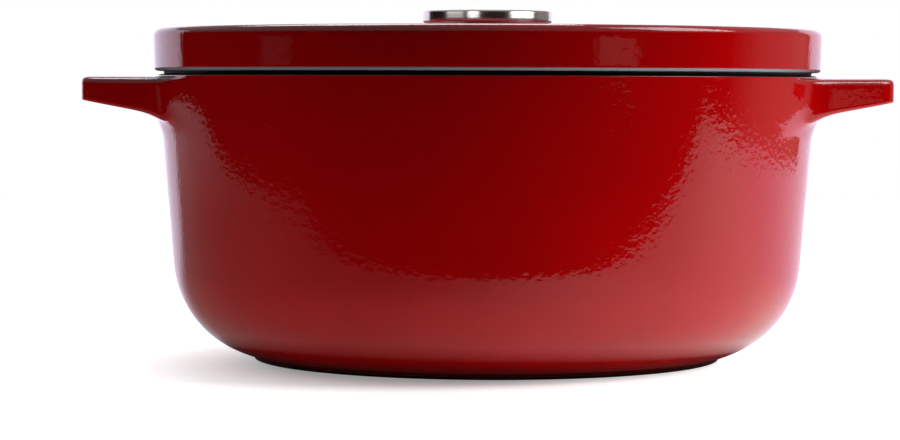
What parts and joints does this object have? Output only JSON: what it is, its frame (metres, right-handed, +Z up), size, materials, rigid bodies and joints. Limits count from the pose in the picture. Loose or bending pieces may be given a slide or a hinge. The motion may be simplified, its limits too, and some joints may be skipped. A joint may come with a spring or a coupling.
{
  "type": "cooking pot",
  "caption": "Round enamelled cast-iron casserole pot with squared loop handles, a sunken lid with a raised outer wall and a low brushed steel disc knob.",
  "frame": {"origin": "middle of the base, on the surface that the pot stands on", "axes": "+X along the line through the two handles, +Z up the pot's axis"},
  "size_m": [0.324, 0.2716, 0.1415],
  "materials": {
    "pot_enamel": "gloss red glass enamel on cast iron, pale inside, matt black rim",
    "lid_enamel": "gloss red glass enamel on cast iron, pale underside, matt black seat",
    "brushed_steel": "brushed stainless steel",
    "turned_steel": "fine turned stainless steel",
    "soft_washer": "matt heat-proof silicone",
    "screw_steel": "plain stainless steel"
  },
  "bodies": {
    "pot": {"pot_body": "pot_enamel", "handle_right": "pot_enamel", "handle_left": "pot_enamel"},
    "lid": {"lid_body": "lid_enamel", "knob_cap": "brushed_steel", "knob_stem": "turned_steel", "knob_seat_washer": "soft_washer", "knob_screw": "screw_steel", "screw_washer": "screw_steel", "lock_washer": "screw_steel"}
  },
  "joints": [
    {"name": "lid_lift", "type": "slide", "parent": "pot", "child": "lid", "axis": [0, 0, 1], "range_m": [0, 0.2]}
  ]
}
